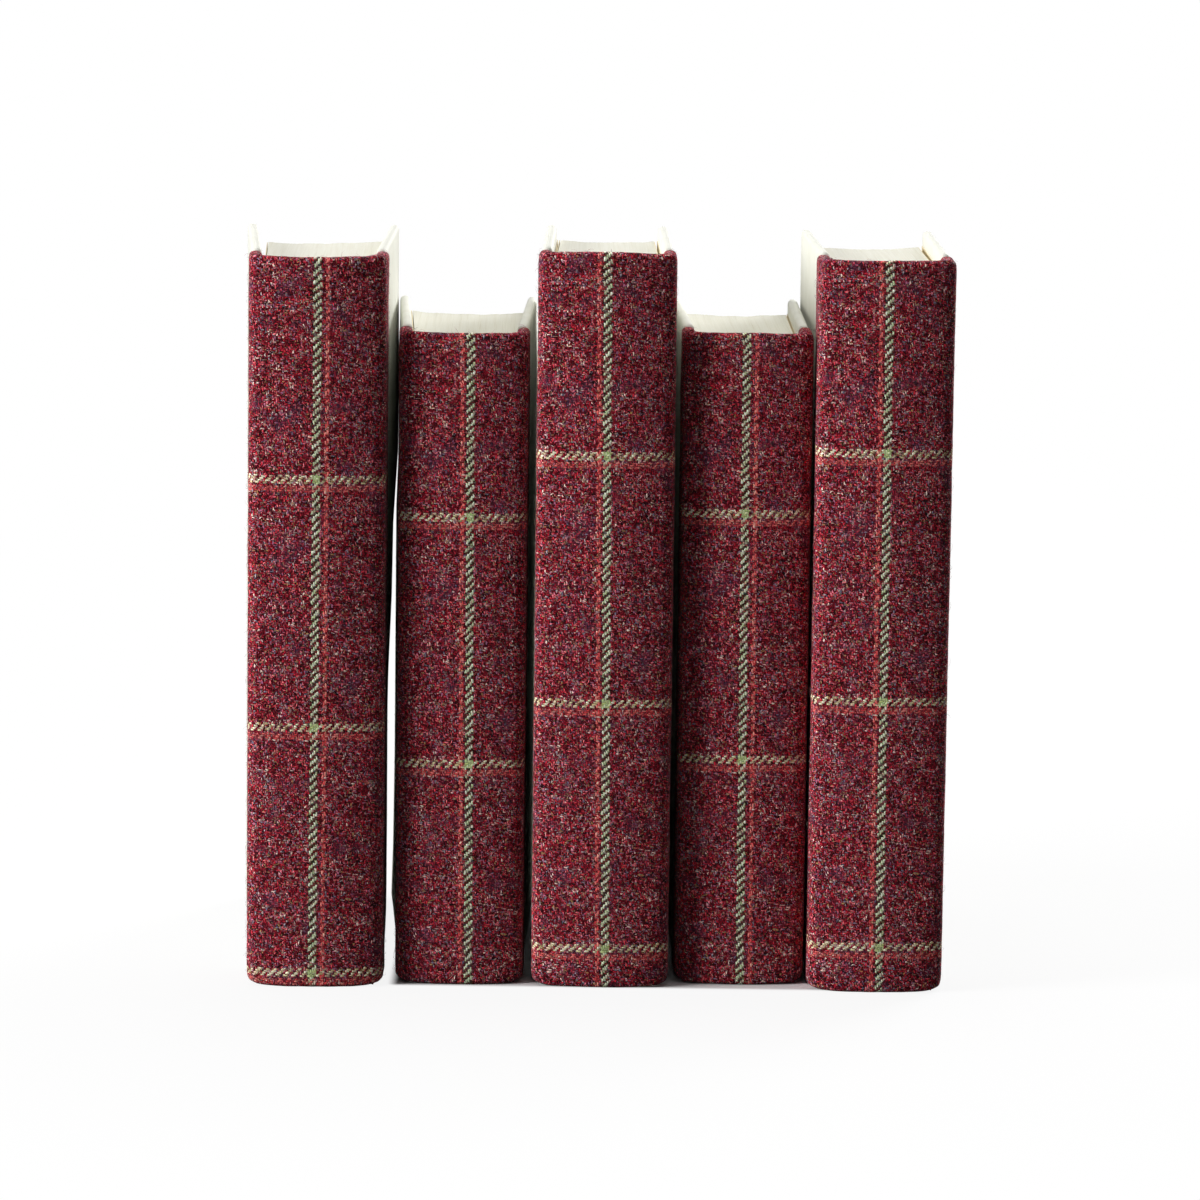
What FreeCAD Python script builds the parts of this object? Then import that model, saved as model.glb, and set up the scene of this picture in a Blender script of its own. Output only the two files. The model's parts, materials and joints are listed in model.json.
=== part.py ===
import FreeCAD, Part
import math
import os
import Sketcher
import types

# Five hardback books standing upright side by side, with their spines to the front.
# Each is quarter bound: woollen cloth over the spine and the board edges next to it,
# and an ivory covering over the rest of both boards.
# A book has its own frame: X across its thickness, Y from spine to fore-edge, Z up from
# its tail. The row's frame has its origin on the shelf, under the middle of the row.
# Lengths are millimetres and angles are degrees.

SHARED_SIZES = [
    ("tweed_wall", 1.4, "woollen cloth on the outside of a book"),
    ("edge_wall", 0.5, "any covering pressed round a board edge, and the ivory one all over"),
    ("board_wall", 2.4, "millboard inside each cover"),
    ("card_wall", 1.6, "stiffening card inside the spine"),
    ("hollow_gap", 0.2, "air between the turned cloth and the spine lining"),
    ("lining_wall", 0.6, "gauze and paper glued to the back of the pages"),
    ("leaf_wall", 0.25, "endpaper"),
    ("leaf_gap", 0.3, "between the pasted leaf and the free leaf at the hinge line"),
    ("spine_radius", 140.0, "slight roundness of the spine, seen from above"),
    ("corner_radius", 3.5, "where the cloth turns from the spine to the side"),
    ("groove_margin", 1.0, "flat cloth on either side of the joint groove"),
    ("groove_width", 6.0, "joint groove between spine and board"),
    ("groove_depth", 2.0, "joint groove, from the outer face of the cloth"),
    ("hinge_gap", 0.4, "slit on the hinge line of a cover that opens"),
    ("lap", 26.0, "spine face to the edge of the cloth on the boards"),
    ("turn_in", 15.0, "covering folded over onto the inner face of a board"),
    ("square", 5.0, "board standing past the pages at head and tail"),
    ("lining_margin", 3.0, "pages standing past the spine lining at head and tail"),
    ("paste_margin", 3.0, "board edge left showing round the pasted leaf"),
    ("fold_rise", 1.0, "hinge line to the fold of the endpaper"),
    ("shoulder", 1.0, "rounding of the back corners of the pages"),
    ("free_leaf_margin", 1.0, "pages standing past the free leaf at the fore-edge"),
    ("fore_edge_dip", 6.0, "hollow of the fore-edge"),
    ("soft_edge", 0.9, "rounding of the ivory covering at the board edges"),
]

BOOK_SIZES = [
    ("tip_gap", "air from the board tip before it to its own left board tip"),
    ("place_y", "spine face, behind the front line of the row"),
    ("yaw", "turn of the book, fore-edge to the left"),
    ("width", "across the spine"),
    ("height", "head to tail"),
    ("depth", "spine face to the ends of the boards"),
    ("wedge", "each side of the pages, away from the middle plane"),
    ("left_opening", "left cover, away from the pages"),
    ("right_opening", "right cover, away from the pages"),
    ("left_recess", "board tip to the fore-edge of the first leaves"),
    ("right_recess", "board tip to the fore-edge of the last leaves"),
]

BOOKS = [
    (0.0, -5.2, 1.9, 43.6, 234.6, 150.0, 1.4, 1.25, 0.05, 22.0, 9.0),
    (0.45, 1.9, 0.95, 41.1, 210.4, 145.0, 1.6, 0.05, 0.05, 6.0, 9.0),
    (3.0, -0.6, 0.15, 44.0, 235.8, 138.0, -0.5, 0.3, 0.3, 4.0, 5.0),
    (1.3, 6.8, 0.72, 41.4, 211.0, 136.0, 0.85, 0.05, 0.05, 5.0, 6.0),
    (0.65, -3.1, 0.28, 43.1, 235.2, 141.0, 0.45, 0.05, 0.55, 16.0, 9.0),
]

# The covers at the two ends of the row can open where they stand.
OPENING_COVERS = [(1, "left"), (5, "right")]

# Reach of a cutting outline past the solid that it trims.
CLEAR = 2.0
# Outer limit of the outlines that trim one half of a book away.
FAR = 60.0


class Size:
    """A length or ratio, held with the sheet expression that gives it."""

    def __init__(self, value, text):
        self.value = value
        self.text = text

    def __add__(self, other):
        other = as_size(other)
        return Size(self.value + other.value, f"({self.text} + {other.text})")

    def __sub__(self, other):
        other = as_size(other)
        return Size(self.value - other.value, f"({self.text} - {other.text})")

    def __mul__(self, other):
        other = as_size(other)
        return Size(self.value * other.value, f"({self.text} * {other.text})")

    def __truediv__(self, other):
        other = as_size(other)
        return Size(self.value / other.value, f"({self.text} / {other.text})")

    def __neg__(self):
        return Size(-self.value, f"(-1 * {self.text})")


def as_size(number):
    return number if isinstance(number, Size) else Size(float(number), str(float(number)))


NONE = as_size(0)


def root(size):
    return Size(math.sqrt(size.value), f"sqrt({size.text})")


def slope(angle):
    return Size(math.tan(math.radians(angle.value)), f"tan({angle.text})")


def cosine(angle):
    return Size(math.cos(math.radians(angle.value)), f"cos({angle.text})")


def sine(angle):
    return Size(math.sin(math.radians(angle.value)), f"sin({angle.text})")


doc = FreeCAD.newDocument("BookRow")
sheet = doc.addObject("Spreadsheet::Sheet", "Sizes")
sheet_rows = []
common = types.SimpleNamespace()


def put_size(alias, value, note):
    """Writes one size to the sheet and returns it with its expression."""
    row = len(sheet_rows) + 1
    sheet_rows.append(alias)
    sheet.set(f"A{row}", alias)
    sheet.set(f"B{row}", str(value))
    sheet.setAlias(f"B{row}", alias)
    sheet.set(f"C{row}", note)
    return Size(float(value), f"Sizes.{alias}")


class Book:
    """The sizes of one book and the lines that its pieces share."""

    def __init__(self, number, values, last_tip_x):
        self.name = f"book_{number}"
        for (alias, note), value in zip(BOOK_SIZES, values):
            setattr(self, alias, put_size(f"{self.name}_{alias}", value, note))
        self.half = self.width / 2
        self.corner_x = self.half - common.corner_radius
        self.corner_rise = root(square_of(common.spine_radius - common.corner_radius)
                                - square_of(self.corner_x))
        self.side_y = common.spine_radius - self.corner_rise
        self.groove_start = self.side_y + common.groove_margin
        self.hinge_y = self.groove_start + common.groove_width / 2
        self.groove_end = self.groove_start + common.groove_width
        self.board_start = self.groove_end + common.groove_margin
        self.board_end = self.depth - common.edge_wall
        self.slopes = {"left": slope(self.wedge + self.left_opening),
                       "right": slope(self.wedge + self.right_opening)}
        self.wedge_slope = slope(self.wedge)
        self.page_reach = {"left": self.depth - self.left_recess,
                           "right": self.depth - self.right_recess}
        self.place_x = last_tip_x + self.tip_gap + self.tip_x("left")
        self.last_tip_x = self.place_x + self.tip_x("right")

    def cover_x(self, side, inward, y):
        """Distance from the middle plane to a cover's layer, a depth below its outer face."""
        return self.half - inward + (y - self.hinge_y) * self.slopes[side]

    def tip_x(self, side):
        """How far across the row a cover's tip reaches from the middle of the spine."""
        across = self.cover_x(side, common.tweed_wall - common.edge_wall, self.depth)
        turned = sine(self.yaw) * self.depth
        return cosine(self.yaw) * across + (turned if side == "left" else -turned)

    def page_x(self, inward, y):
        """Distance from the middle plane to a layer that lies along the side of the pages."""
        return self.half - inward + (y - self.hinge_y) * self.wedge_slope

    def spine_turn(self, inward):
        """Where the spine's long arc at a depth meets the small arc at its right corner."""
        share = (common.spine_radius - inward) / (common.spine_radius - common.corner_radius)
        return self.corner_x * share, common.spine_radius - self.corner_rise * share

    def spine_y(self, inward, x):
        """Where the spine's long arc at a depth stands at a distance from the middle."""
        return common.spine_radius - root(square_of(common.spine_radius - inward) - square_of(x))


def square_of(size):
    return size * size


def arc_radius(chord_squared, rise):
    """Radius of the arc that rises by so much over a chord."""
    return (chord_squared / 4 + square_of(rise)) / (rise * 2)


def mirrored(points):
    """The same outline on the left of the middle plane."""
    return [(-x, y, None if radius is None else -radius) for x, y, radius in points]


def add_outline(body, name, level, loops):
    """A sketch of closed loops, parallel to the shelf, at a height above the book's tail.
    Each point is x, y and the radius of the arc that leaves it, or None for a line.
    A radius above zero turns the arc anticlockwise."""
    sketch = body.newObject("Sketcher::SketchObject", f"{body.Name}_{name}_outline")
    plane = [face for face in body.Origin.OriginFeatures if face.Role == "XY_Plane"][0]
    sketch.AttachmentSupport = [(plane, "")]
    sketch.MapMode = "FlatFace"
    sketch.AttachmentOffset = FreeCAD.Placement(
        FreeCAD.Vector(0, 0, level.value), FreeCAD.Rotation())
    sketch.setExpression("AttachmentOffset.Base.z", level.text)
    edges = []
    constraints = []
    expressions = []
    for loop in loops:
        base = len(edges)
        starts = []
        for index, (x, y, radius) in enumerate(loop):
            next_x, next_y, unused = loop[(index + 1) % len(loop)]
            start = FreeCAD.Vector(x.value, y.value, 0)
            end = FreeCAD.Vector(next_x.value, next_y.value, 0)
            if radius is None:
                edges.append(Part.LineSegment(start, end))
                starts.append(1)
            else:
                edges.append(arc_between(start, end, radius.value))
                starts.append(1 if radius.value > 0 else 2)
        for index, (x, y, radius) in enumerate(loop):
            edge = base + index
            last = base + (index - 1) % len(loop)
            constraints.append(Sketcher.Constraint(
                "Coincident", last, 3 - starts[index - 1], edge, starts[index]))
            constraints.append(Sketcher.Constraint("DistanceX", edge, starts[index], x.value))
            expressions.append((len(constraints) - 1, x.text))
            constraints.append(Sketcher.Constraint("DistanceY", edge, starts[index], y.value))
            expressions.append((len(constraints) - 1, y.text))
            if radius is not None:
                constraints.append(Sketcher.Constraint("Radius", edge, abs(radius.value)))
                size = radius if radius.value > 0 else -radius
                expressions.append((len(constraints) - 1, size.text))
    sketch.addGeometry(edges, False)
    sketch.addConstraint(constraints)
    for place, text in expressions:
        sketch.setExpression(f"Constraints[{place}]", text)
    return sketch


def arc_between(start, end, radius):
    """The short arc from start to end, anticlockwise for a radius above zero."""
    chord = end - start
    middle = (start + end) * 0.5
    rise = math.sqrt(radius * radius - chord.Length * chord.Length / 4)
    left = FreeCAD.Vector(-chord.y, chord.x, 0).normalize()
    centre = middle + left * math.copysign(rise, radius)
    first, last = (start, end) if radius > 0 else (end, start)
    first_angle = math.atan2(first.y - centre.y, first.x - centre.x)
    last_angle = math.atan2(last.y - centre.y, last.x - centre.x)
    circle = Part.Circle(centre, FreeCAD.Vector(0, 0, 1), abs(radius))
    return Part.ArcOfCircle(circle, first_angle, last_angle)


def new_body(book, name):
    """A body that stands where its book stands."""
    body = doc.addObject("PartDesign::Body", f"{book.name}_{name}")
    body.Label = f"{book.name}_{name}"
    body.setExpression("Placement.Base.x", f"{book.place_x.text} - Sizes.middle_x")
    body.setExpression("Placement.Base.y", f"{book.place_y.text} - Sizes.middle_y")
    body.setExpression("Placement.Rotation.Angle", book.yaw.text)
    return body


def add_pad(body, name, bottom, top, loops):
    """Material between two heights."""
    feature = body.newObject("PartDesign::Pad", f"{body.Name}_{name}")
    feature.Profile = add_outline(body, name, bottom, loops)
    feature.Length = (top - bottom).value
    feature.setExpression("Length", (top - bottom).text)
    return feature


def add_pocket(body, name, bottom, top, loops):
    """A cut between two heights."""
    outline = add_outline(body, name, bottom, loops)
    feature = body.newObject("PartDesign::Pocket", f"{body.Name}_{name}")
    feature.Profile = outline
    feature.Reversed = True
    feature.Length = (top - bottom).value
    feature.setExpression("Length", (top - bottom).text)
    return feature


def layer(book, side, outer, inner, start, end):
    """Outline of a flat layer of a cover, between two depths and two distances from the spine."""
    points = [
        (book.cover_x(side, outer, start), start, None),
        (book.cover_x(side, outer, end), end, None),
        (book.cover_x(side, inner, end), end, None),
        (book.cover_x(side, inner, start), start, None),
    ]
    return points if side == "right" else mirrored(points)


def spine_band(book, outer, inner):
    """Outline of a layer along the spine, with an edge that follows the small corner arcs."""
    outer_turn = book.spine_turn(outer)
    inner_turn = book.spine_turn(inner)
    corner = common.corner_radius - outer
    return [
        (-(book.half - outer), book.side_y, corner),
        (-outer_turn[0], outer_turn[1], common.spine_radius - outer),
        (outer_turn[0], outer_turn[1], corner),
        (book.half - outer, book.side_y, None),
        (inner_turn[0], inner_turn[1], -(common.spine_radius - inner)),
        (-inner_turn[0], inner_turn[1], None),
    ]


def skin_side(book, side, inward):
    """The cloth's face from the end of the corner arc, over the groove, to past the board's edge."""
    groove_radius = arc_radius(square_of(common.groove_width), common.groove_depth)
    reach = root(square_of(groove_radius + inward)
                 - square_of(groove_radius - common.groove_depth + inward))
    near = book.hinge_y - reach
    far = book.hinge_y + reach
    return [
        (book.half - inward, book.side_y, None),
        (book.half - inward, near, -(groove_radius + inward)),
        (book.cover_x(side, inward, far), far, None),
    ]


def closed_line(right_side, left_side, turn, radius, corner):
    """Joins two side lines round the spine, from the far end on the left to the far end
    on the right. Each side line runs away from the spine."""
    left_far_first = []
    for index in range(len(left_side) - 1, -1, -1):
        x, y, unused = left_side[index]
        before = left_side[index - 1][2] if index > 0 else None
        left_far_first.append((-x, y, before))
    last_x, last_y, unused = left_far_first[-1]
    left_far_first[-1] = (last_x, last_y, corner)
    return left_far_first + [(-turn[0], turn[1], radius), (turn[0], turn[1], corner)] + right_side


def tweed_outlines(book):
    """Outlines of the whole wrapped cloth, of what it wraps, and of all inside its outer layer."""
    board_inner = common.tweed_wall + common.board_wall
    wrap_inner = board_inner + common.edge_wall
    card_inner = common.tweed_wall + common.card_wall
    lap_end = common.lap + CLEAR
    outside = {}
    inside = {}
    opening = {}
    for side in ("right", "left"):
        outside[side] = skin_side(book, side, NONE) + [
            (book.cover_x(side, NONE, common.lap), common.lap, None),
            (book.cover_x(side, wrap_inner, common.lap), common.lap, None),
            (book.cover_x(side, wrap_inner, book.board_start - common.edge_wall),
             book.board_start - common.edge_wall, None),
        ]
        opening[side] = skin_side(book, side, common.tweed_wall) + [
            (book.cover_x(side, common.tweed_wall, lap_end), lap_end, None)]
        inside[side] = layer(book, side, common.tweed_wall, board_inner, book.board_start, lap_end)
    turn_inner = book.spine_turn(card_inner + common.edge_wall)
    whole = closed_line(outside["right"], outside["left"], book.spine_turn(NONE),
                        common.spine_radius, common.corner_radius)
    whole = whole + [
        (turn_inner[0], turn_inner[1], -(common.spine_radius - card_inner - common.edge_wall)),
        (-turn_inner[0], turn_inner[1], None),
    ]
    hollow = closed_line(opening["right"], opening["left"], book.spine_turn(common.tweed_wall),
                         common.spine_radius - common.tweed_wall,
                         common.corner_radius - common.tweed_wall)
    cores = [spine_band(book, common.tweed_wall, card_inner), inside["right"], inside["left"]]
    return whole, hollow, cores


def make_tweed(book, name):
    """Cloth round the spine and both joints, with its head and tail turned in."""
    whole, hollow, cores = tweed_outlines(book)
    body = new_body(book, name)
    add_pad(body, "wrap", NONE, book.height, [whole])
    add_pocket(body, "cores", common.edge_wall, book.height - common.edge_wall, cores)
    add_pocket(body, "inside", common.turn_in, book.height - common.turn_in, [hollow])
    return body


def side_block(side, start, end):
    """An outline that takes in all of one side of a book between two distances from the spine."""
    points = [
        (NONE, start, None),
        (as_size(FAR), start, None),
        (as_size(FAR), end, None),
        (NONE, end, None),
    ]
    return points if side == "right" else mirrored(points)


def trim_to_spine(body, book, side):
    """Takes away the cloth beyond the hinge line on one side."""
    add_pocket(body, "hinge_side", as_size(-CLEAR), book.height + CLEAR,
               [side_block(side, book.hinge_y - common.hinge_gap / 2, common.lap + CLEAR)])


def trim_to_flap(body, book, side):
    """Leaves only the cloth beyond the hinge line on one side."""
    other = "left" if side == "right" else "right"
    add_pocket(body, "far_side", as_size(-CLEAR), book.height + CLEAR,
               [side_block(other, as_size(-CLEAR), common.lap + CLEAR)])
    add_pocket(body, "spine_side", as_size(-CLEAR), book.height + CLEAR,
               [side_block(side, as_size(-CLEAR), book.hinge_y + common.hinge_gap / 2)])


def make_spine_card(book):
    """The card that keeps the cloth of the spine flat."""
    body = new_body(book, "spine_card")
    add_pad(body, "card", common.edge_wall, book.height - common.edge_wall,
            [spine_band(book, common.tweed_wall, common.tweed_wall + common.card_wall)])


def make_board(book, side):
    body = new_body(book, f"{side}_board")
    add_pad(body, "board", common.edge_wall, book.height - common.edge_wall,
            [layer(book, side, common.tweed_wall, common.tweed_wall + common.board_wall,
                   book.board_start, book.board_end)])


def make_siding(book, side):
    """Ivory covering folded round the three free edges of a board."""
    outer = common.tweed_wall - common.edge_wall
    board_inner = common.tweed_wall + common.board_wall
    body = new_body(book, f"{side}_siding")
    wrap = add_pad(body, "wrap", NONE, book.height,
                   [layer(book, side, outer, board_inner + common.edge_wall, common.lap, book.depth)])
    doc.recompute()
    rounding = body.newObject("PartDesign::Fillet", f"{body.Name}_rounding")
    rounding.Base = (wrap, free_edges(wrap.Shape, common.lap.value))
    rounding.Radius = common.soft_edge.value
    rounding.setExpression("Radius", common.soft_edge.text)
    add_pocket(body, "board_room", common.edge_wall, book.height - common.edge_wall,
               [layer(book, side, common.tweed_wall, board_inner, common.lap - CLEAR, book.board_end)])
    add_pocket(body, "window", common.turn_in, book.height - common.turn_in,
               [layer(book, side, board_inner, board_inner + common.edge_wall + CLEAR,
                      common.lap - CLEAR, book.depth - common.turn_in)])


def free_edges(shape, start):
    """Names of the edges that reach further from the spine than where the covering starts.
    The shape is in its body's own frame."""
    names = []
    for index, edge in enumerate(shape.Edges):
        if max(vertex.Point.y for vertex in edge.Vertexes) > start + CLEAR:
            names.append(f"Edge{index + 1}")
    return names


def leaf_depths():
    """Depths of the pasted leaf's two faces and of the free leaf's two faces."""
    pasted_outer = common.tweed_wall + common.board_wall + common.edge_wall
    pasted_inner = pasted_outer + common.leaf_wall
    free_outer = pasted_inner + common.leaf_gap
    return pasted_outer, pasted_inner, free_outer, free_outer + common.leaf_wall


def add_filler(body, book, side):
    """Paper that fills the board's inner face, level with the turned-in covering."""
    add_pad(body, "filler", common.turn_in, book.height - common.turn_in,
            [layer(book, side, common.tweed_wall + common.board_wall, leaf_depths()[0],
                   book.board_start, book.depth - common.turn_in)])


def make_endpaper(book, side):
    """One folded sheet: a leaf pasted to the board and a free leaf against the pages."""
    pasted_outer, pasted_inner, free_outer, free_inner = leaf_depths()
    fold_start = book.hinge_y + common.fold_rise
    fold_end = fold_start + common.leaf_wall
    pasted_end = book.depth - common.paste_margin
    free_end = book.page_reach[side] - common.free_leaf_margin
    body = new_body(book, f"{side}_endpaper")
    fold = [
        (book.cover_x(side, pasted_outer, fold_start), fold_start, None),
        (book.cover_x(side, pasted_outer, pasted_end), pasted_end, None),
        (book.cover_x(side, pasted_inner, pasted_end), pasted_end, None),
        (book.cover_x(side, pasted_inner, fold_end), fold_end, None),
        (book.page_x(free_outer, fold_end), fold_end, None),
        (book.page_x(free_outer, free_end), free_end, None),
        (book.page_x(free_inner, free_end), free_end, None),
        (book.page_x(free_inner, fold_start), fold_start, None),
    ]
    add_pad(body, "leaves", common.square, book.height - common.square,
            [fold if side == "right" else mirrored(fold)])
    add_filler(body, book, side)


def make_pasted_leaf(book, side):
    """The endpaper's pasted half, on a cover that opens."""
    pasted_outer, pasted_inner, free_outer, free_inner = leaf_depths()
    body = new_body(book, f"{side}_pastedown")
    add_pad(body, "leaf", common.square, book.height - common.square,
            [layer(book, side, pasted_outer, pasted_inner,
                   book.hinge_y + common.fold_rise, book.depth - common.paste_margin)])
    add_filler(body, book, side)


def make_free_leaf(book, side):
    """The endpaper's free half, which stays with the pages when its cover opens."""
    pasted_outer, pasted_inner, free_outer, free_inner = leaf_depths()
    start = book.hinge_y + common.fold_rise
    end = book.page_reach[side] - common.free_leaf_margin
    points = [
        (book.page_x(free_outer, start), start, None),
        (book.page_x(free_outer, end), end, None),
        (book.page_x(free_inner, end), end, None),
        (book.page_x(free_inner, start), start, None),
    ]
    body = new_body(book, f"{side}_flyleaf")
    add_pad(body, "leaf", common.square, book.height - common.square,
            [points if side == "right" else mirrored(points)])


def pages_back(book):
    """Depth of the back of the pages, and the half width of its long arc."""
    card_back = common.tweed_wall + common.card_wall + common.edge_wall
    back = card_back + common.hollow_gap + common.lining_wall
    return back, book.half - leaf_depths()[3] - common.shoulder


def make_pages(book):
    """The sewn pages: slightly rounded back, straight sides and a hollow fore-edge."""
    back, back_x = pages_back(book)
    side_depth = leaf_depths()[3]
    back_y = book.spine_y(back, back_x)
    side_start = back_y + common.shoulder
    start_x = book.page_x(side_depth, side_start)
    left_end, right_end = book.page_reach["left"], book.page_reach["right"]
    right_x = book.page_x(side_depth, right_end)
    left_x = book.page_x(side_depth, left_end)
    chord_squared = square_of(right_x + left_x) + square_of(right_end - left_end)
    hollow = arc_radius(chord_squared, common.fore_edge_dip)
    body = new_body(book, "pages")
    add_pad(body, "block", common.square, book.height - common.square, [[
        (-back_x, back_y, common.spine_radius - back),
        (back_x, back_y, common.shoulder),
        (start_x, side_start, None),
        (right_x, right_end, -hollow),
        (-left_x, left_end, None),
        (-start_x, side_start, common.shoulder),
    ]])


def make_spine_lining(book):
    """Gauze and paper along the back of the pages."""
    back, back_x = pages_back(book)
    front = back - common.lining_wall
    margin = common.square + common.lining_margin
    body = new_body(book, "spine_lining")
    add_pad(body, "lining", margin, book.height - margin, [[
        (-back_x, book.spine_y(front, back_x), common.spine_radius - front),
        (back_x, book.spine_y(front, back_x), None),
        (back_x, book.spine_y(back, back_x), -(common.spine_radius - back)),
        (-back_x, book.spine_y(back, back_x), None),
    ]])


def make_book(number, book):
    tweed = make_tweed(book, "tweed")
    make_spine_card(book)
    make_pages(book)
    make_spine_lining(book)
    for side in ("left", "right"):
        make_board(book, side)
        make_siding(book, side)
        if (number, side) in OPENING_COVERS:
            trim_to_spine(tweed, book, side)
            trim_to_flap(make_tweed(book, "tweed_flap"), book, side)
            make_pasted_leaf(book, side)
            make_free_leaf(book, side)
        else:
            make_endpaper(book, side)


def centre_row():
    """Puts the origin under the middle of the row's own box."""
    box = FreeCAD.BoundBox()
    for body in bodies():
        box.add(body.Shape.optimalBoundingBox(True, False))
    sheet.set(MIDDLE_CELLS[0], str(round(box.Center.x, 4)))
    sheet.set(MIDDLE_CELLS[1], str(round(box.Center.y, 4)))
    doc.recompute()


def bodies():
    return [item for item in doc.Objects if item.TypeId == "PartDesign::Body"]


def check_document():
    """Stops on any object that failed, and on any piece that isn't one sound solid."""
    for item in doc.Objects:
        if "Invalid" in item.State or "Error" in item.State:
            raise RuntimeError(f"{item.Label} is {item.State}")
    for body in bodies():
        if body.Shape.isNull() or not body.Shape.isValid() or len(body.Shape.Solids) != 1:
            raise RuntimeError(f"{body.Label} is not one sound solid")


def export_parts():
    os.makedirs("parts", exist_ok=True)
    for body in bodies():
        body.Shape.exportStep(os.path.join("parts", f"{body.Label}.step"))


for alias, value, note in SHARED_SIZES:
    setattr(common, alias, put_size(alias, value, note))
put_size("middle_x", 0, "middle of the row's box, across")
put_size("middle_y", 0, "middle of the row's box, front to back")
MIDDLE_CELLS = [f"B{len(sheet_rows) - 1}", f"B{len(sheet_rows)}"]
doc.recompute()

last_tip_x = NONE
for number, values in enumerate(BOOKS, 1):
    book = Book(number, values, last_tip_x)
    last_tip_x = book.last_tip_x
    make_book(number, book)
doc.recompute()
centre_row()
check_document()
export_parts()
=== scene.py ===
import bpy
import json
import math
import numpy as np
import random
from mathutils import Matrix, Vector, noise


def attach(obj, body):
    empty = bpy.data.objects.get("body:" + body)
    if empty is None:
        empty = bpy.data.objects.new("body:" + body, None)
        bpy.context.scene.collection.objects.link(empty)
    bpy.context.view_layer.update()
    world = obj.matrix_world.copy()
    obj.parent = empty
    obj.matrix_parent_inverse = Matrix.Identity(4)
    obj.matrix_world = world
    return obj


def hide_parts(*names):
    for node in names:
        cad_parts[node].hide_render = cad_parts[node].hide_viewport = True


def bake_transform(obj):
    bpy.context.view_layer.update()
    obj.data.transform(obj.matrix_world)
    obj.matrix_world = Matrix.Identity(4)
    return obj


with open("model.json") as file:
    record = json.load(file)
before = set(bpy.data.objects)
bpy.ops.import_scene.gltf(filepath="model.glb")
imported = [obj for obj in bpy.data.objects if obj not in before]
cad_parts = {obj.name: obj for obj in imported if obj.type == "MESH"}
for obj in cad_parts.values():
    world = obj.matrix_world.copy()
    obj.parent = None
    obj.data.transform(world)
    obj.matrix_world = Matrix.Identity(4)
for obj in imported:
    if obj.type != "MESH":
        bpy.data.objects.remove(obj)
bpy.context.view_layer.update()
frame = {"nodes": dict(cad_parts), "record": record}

# Five quarter-bound books standing in a row: woollen check cloth round the spines, ivory
# paper on the boards. Each book has its own frame: x across its thickness, y from the
# spine to the fore-edge, z up from its tail. Lengths are millimetres until a mesh is made.

MM = 0.001

BOOKS = [
    dict(yaw=1.9, width=43.6, height=234.6, depth=150.0, wedge=1.4, left_opening=1.25,
         right_opening=0.05, left_recess=22.0, right_recess=9.0, green_head=0.1,
         green_tail=-0.8, coral_side=1, cream_height=84.2, head_arch=-0.4,),
    dict(yaw=0.95, width=41.1, height=210.4, depth=145.0, wedge=1.6, left_opening=0.05,
         right_opening=0.05, left_recess=6.0, right_recess=9.0, green_head=2.2,
         green_tail=3.0, coral_side=-1, cream_height=71.9, head_arch=0.0,),
    dict(yaw=0.15, width=44.0, height=235.8, depth=138.0, wedge=-0.5, left_opening=0.3,
         right_opening=0.3, left_recess=4.0, right_recess=5.0, green_head=0.0,
         green_tail=1.8, coral_side=-1, cream_height=92.3, head_arch=0.9,),
    dict(yaw=0.72, width=41.4, height=211.0, depth=136.0, wedge=0.85, left_opening=0.05,
         right_opening=0.05, left_recess=5.0, right_recess=6.0, green_head=-0.8,
         green_tail=0.15, coral_side=1, cream_height=73.6, head_arch=0.0,),
    dict(yaw=0.28, width=43.1, height=235.2, depth=141.0, wedge=0.45, left_opening=0.05,
         right_opening=0.55, left_recess=16.0, right_recess=9.0, green_head=0.4,
         green_tail=1.2, coral_side=-1, cream_height=94.4, head_arch=0.0,),
]
OPENING_COVERS = {(1, "left"): "left_cover", (5, "right"): "right_cover"}

# How far the fore-edges of the warped covers stand outward, at heights above the tail.
WARPS = {
    (1, "right"): [(0, -2.9), (70, -2.9), (81, -2.7), (106, -1.7), (133, -1.3), (148, -0.4),
                   (158, 0.2), (190, 0.3), (215, 0.0)],
    (2, "left"): [(0, 1.8), (20, 1.3), (50, 0.95), (138, 0.9), (156, 0.3), (190, 0.3), (204, 0.0)],
    (2, "right"): [(0, 0.8), (185, 0.8), (204, 0.0)],
}

# Sizes that the books share.
CLOTH = 1.4
EDGE = 0.5
BOARD = 2.4
CARD = 1.6
SPINE_RADIUS = 140.0
SPINE_CORNER = 3.5
SOFT_CORNER = 4.2
GROOVE_MARGIN = 1.0
GROOVE_WIDTH = 6.0
GROOVE_DEPTH = 1.9
LAP = 26.0
TURN_IN = 15.0
SQUARE = 5.0
LEAF = 0.25
LEAF_GAP = 0.3
PASTE_MARGIN = 3.0
FOLD_RISE = 1.0
BLOCK_BACK = 4.3
BLOCK_SHOULDER = 1.0
FORE_EDGE_DIP = 6.0

# The spine of the cloth is bowed on its own radius, and the corners of its head and tail are
# rounded and tucked in. The ears are the raised corners of the head.
CLOTH_BOW = 85.0
TAIL_ROUND = 5.5
TAIL_TUCK = 2.6
TAIL_LIFT = 0.8
HEAD_ROUND = 3.0
HEAD_TUCK = 0.9
EAR = 0.4

# Rows of the cloth's grid over the fold at its head or tail, rows of each turned-in strip, and
# how far the pattern runs over the fold, in half thicknesses of the wrapped cloth.
FOLD_ROWS = 11
STRIP_ROWS = 6
FOLD_RUN = 2.6

# The cloth: the width of one thread, and the threads from one check line to the next.
PITCH = 0.65 * MM
CHECK = 122
WOOL_FIBRES = 900

# The light that comes from all round, where a lamp's full level is 1.
AMBIENT = 0.09
WHITE = (1.0, 1.0, 1.0)

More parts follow.
